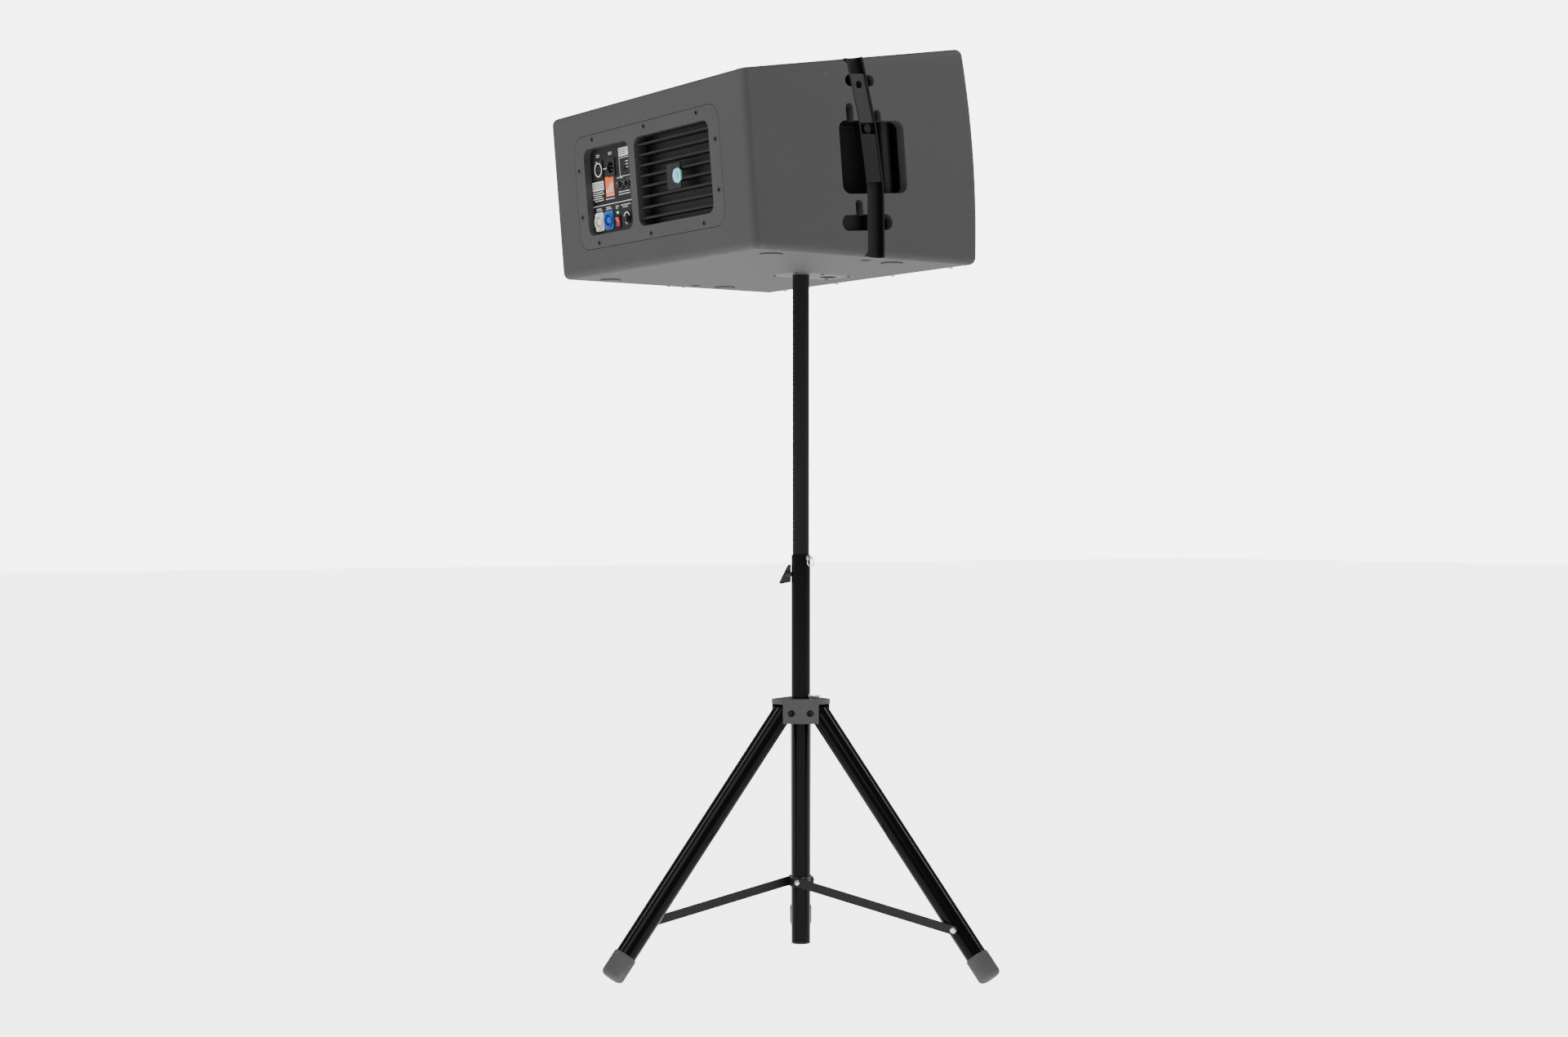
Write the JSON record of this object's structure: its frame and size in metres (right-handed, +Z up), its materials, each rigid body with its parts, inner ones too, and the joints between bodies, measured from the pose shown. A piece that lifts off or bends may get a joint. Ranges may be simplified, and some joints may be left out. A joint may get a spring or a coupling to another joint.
{
  "type": "pa speaker",
  "caption": "Powered wedge-shaped loudspeaker cabinet with amplifier panel, side handles and rigging rails, on a telescopic folding tripod stand.",
  "frame": {"origin": "on the ground, on the stand's pole axis", "axes": "+Z up along the pole; -Y is the way the grille faces and +Y the amplifier panel; X is the cabinet's width"},
  "size_m": [0.6388, 0.5843, 1.5083],
  "materials": {
    "cabinet_paint": "dark grey textured paint on plywood",
    "inner_board": "painted board",
    "grille_metal": "grey powder coat",
    "black_metal": "gloss black",
    "panel_metal": "satin grey",
    "black_aluminium": "black anodised",
    "steel": "bright",
    "dark_steel": "black zinc",
    "black_plastic": "moulded",
    "grey_plastic": "moulded",
    "blue_plastic": "moulded",
    "red_plastic": "moulded",
    "clear_lamp": "clear",
    "badge": "gloss",
    "cone_paper": "pressed pulp",
    "foam_rubber": "moulded",
    "rubber_grey": "moulded",
    "magnet_ferrite": "plain",
    "circuit_board": "lacquered",
    "hub_cast": "grey painted casting"
  },
  "bodies": {
    "stand": {"outer_tube": "black_metal", "tube_plug": "black_plastic", "leg_hub": "hub_cast", "hub_bolts": "dark_steel"},
    "pole": {"upper_pole": "black_metal"},
    "cabinet": {"cabinet_shell": "cabinet_paint", "front_baffle": "inner_board", "grille": "grille_metal", "cabinet_screws": "dark_steel", "woofer_frame": "black_aluminium", "woofer_surround": "foam_rubber", "woofer_cone": "cone_paper", "dust_cap": "cone_paper", "woofer_magnet": "magnet_ferrite", "horn_waveguide": "black_plastic", "compression_drivers": "magnet_ferrite", "amp_panel": "panel_metal", "heat_sink": "black_aluminium", "heat_sink_badge": "badge", "input_panel": "black_aluminium", "power_lamp": "clear_lamp", "signal_input": "black_plastic", "signal_loop": "black_plastic", "power_outlet": "grey_plastic", "power_inlet": "blue_plastic", "amplifier_board": "circuit_board", "power_supply_board": "circuit_board", "rigging_rail_left": "dark_steel", "rigging_rail_right": "dark_steel", "handle_cup_left": "black_plastic", "handle_cup_right": "black_plastic", "socket_plate": "dark_steel", "pole_sockets": "black_aluminium", "cabinet_pads": "rubber_grey"},
    "clamp_knob": {"clamp_knob": "black_plastic"},
    "lock_pin": {"lock_pin": "steel"},
    "lock_pin_ring": {"lock_pin_ring": "steel"},
    "hub_pin": {"hub_pin": "steel"},
    "leg_1": {"leg_1": "black_metal", "foot_1": "rubber_grey"},
    "leg_2": {"leg_2": "black_metal", "foot_2": "rubber_grey"},
    "leg_3": {"leg_3": "black_metal", "foot_3": "rubber_grey"},
    "collar": {"lower_collar": "black_metal", "collar_rivets": "steel"},
    "brace_1": {"brace_1": "black_metal"},
    "brace_2": {"brace_2": "black_metal"},
    "brace_3": {"brace_3": "black_metal"},
    "link_bar_left": {"link_bar_left": "panel_metal"},
    "link_bar_right": {"link_bar_right": "panel_metal"},
    "link_pin_left": {"link_pin_left": "dark_steel"},
    "link_pin_right": {"link_pin_right": "dark_steel"},
    "gain_knob": {"gain_knob": "black_plastic"},
    "trim_knob": {"trim_knob": "black_plastic"},
    "mode_slider": {"mode_slider": "black_plastic"},
    "latch_tab": {"latch_tab": "black_plastic"},
    "power_rocker": {"power_rocker": "red_plastic"},
    "breaker_button": {"breaker_button": "black_plastic"}
  },
  "joints": [
    {"name": "pole_height", "type": "slide", "parent": "stand", "child": "pole", "axis": [0, 0, 1], "range_m": [-0.4, 0.05]},
    {"name": "cabinet_swivel", "type": "hinge", "parent": "pole", "child": "cabinet", "pos_m": [0, 0, 1.16], "axis": [0, 0, 1], "continuous": true},
    {"name": "clamp_knob_turn", "type": "hinge", "parent": "stand", "child": "clamp_knob", "pos_m": [0, 0, 0.656], "axis": [0.5721, 0.8202, 0], "range_deg": [0, 270]},
    {"name": "lock_pin_pull", "type": "slide", "parent": "stand", "child": "lock_pin", "axis": [-0.996, -0.0889, 0], "range_m": [0, 0.02]},
    {"name": "pin_ring_swing", "type": "hinge", "parent": "lock_pin", "child": "lock_pin_ring", "pos_m": [-0.0253, -0.00226, 0.684], "axis": [-0.0889, 0.996, 0], "range_deg": [-20, 90]},
    {"name": "hub_pin_pull", "type": "slide", "parent": "stand", "child": "hub_pin", "axis": [-0.933, -0.36, 0], "range_m": [0, 0.012]},
    {"name": "leg_1_fold", "type": "hinge", "parent": "stand", "child": "leg_1", "pos_m": [0.02666, -0.0186, 0.424], "axis": [0.5721, 0.8202, 0], "range_deg": [0, 37.4]},
    {"name": "leg_2_fold", "type": "hinge", "parent": "stand", "child": "leg_2", "pos_m": [0.00278, 0.03238, 0.424], "axis": [-0.9963, 0.0854, 0], "range_deg": [0, 37.4]},
    {"name": "leg_3_fold", "type": "hinge", "parent": "stand", "child": "leg_3", "pos_m": [-0.02943, -0.01379, 0.424], "axis": [0.4242, -0.9056, 0], "range_deg": [0, 37.4]},
    {"name": "collar_slide", "type": "slide", "parent": "stand", "child": "collar", "axis": [0, 0, 1], "range_m": [0, 0.1496]},
    {"name": "brace_1_turn", "type": "hinge", "parent": "collar", "child": "brace_1", "pos_m": [-0.00637, -0.01787, 0.139], "axis": [0.5721, 0.8202, 0], "range_deg": [0, 73.55]},
    {"name": "brace_2_turn", "type": "hinge", "parent": "collar", "child": "brace_2", "pos_m": [0.01866, 0.00342, 0.139], "axis": [-0.9963, 0.0854, 0], "range_deg": [0, 73.55]},
    {"name": "brace_3_turn", "type": "hinge", "parent": "collar", "child": "brace_3", "pos_m": [-0.01229, 0.01445, 0.139], "axis": [0.4242, -0.9056, 0], "range_deg": [0, 73.55]},
    {"name": "link_bar_left_slide", "type": "slide", "parent": "cabinet", "child": "link_bar_left", "axis": [0, 0.2497, 0.9683], "range_m": [0, 0.06]},
    {"name": "link_pin_left_pull", "type": "slide", "parent": "cabinet", "child": "link_pin_left", "axis": [-1, 0, 0], "range_m": [0, 0.012]},
    {"name": "link_bar_right_slide", "type": "slide", "parent": "cabinet", "child": "link_bar_right", "axis": [0, 0.2497, 0.9683], "range_m": [0, 0.06]},
    {"name": "link_pin_right_pull", "type": "slide", "parent": "cabinet", "child": "link_pin_right", "axis": [1, 0, 0], "range_m": [0, 0.012]},
    {"name": "gain_knob_turn", "type": "hinge", "parent": "cabinet", "child": "gain_knob", "pos_m": [0.098, 0.2928, 1.30117], "axis": [0, 0.9962, -0.0872], "range_deg": [-135, 135]},
    {"name": "trim_knob_turn", "type": "hinge", "parent": "cabinet", "child": "trim_knob", "pos_m": [0.077, 0.2928, 1.30117], "axis": [0, 0.9962, -0.0872], "range_deg": [-135, 135]},
    {"name": "mode_slider_slide", "type": "slide", "parent": "cabinet", "child": "mode_slider", "axis": [1, 0, 0], "range_m": [0, 0.006]},
    {"name": "latch_tab_press", "type": "slide", "parent": "cabinet", "child": "latch_tab", "axis": [0, -0.9962, 0.0872], "range_m": [0, 0.0015], "stiffness_N_per_m": 600},
    {"name": "power_rocker_rock", "type": "hinge", "parent": "cabinet", "child": "power_rocker", "pos_m": [0.115, 0.28766, 1.2424], "axis": [1, 0, 0], "range_deg": [0, 14]},
    {"name": "breaker_button_press", "type": "slide", "parent": "cabinet", "child": "breaker_button", "axis": [0, -0.9962, 0.0872], "range_m": [0, 0.003], "stiffness_N_per_m": 500}
  ],
  "couplings": [
    {"joint": "leg_2_fold", "follows": "leg_1_fold", "ratio": 1},
    {"joint": "leg_3_fold", "follows": "leg_1_fold", "ratio": 1},
    {"joint": "collar_slide", "follows": "leg_1_fold", "m_per_rad": 0.22882},
    {"joint": "brace_1_turn", "follows": "leg_1_fold", "ratio": 1.9638},
    {"joint": "brace_2_turn", "follows": "leg_1_fold", "ratio": 1.9638},
    {"joint": "brace_3_turn", "follows": "leg_1_fold", "ratio": 1.9638}
  ]
}
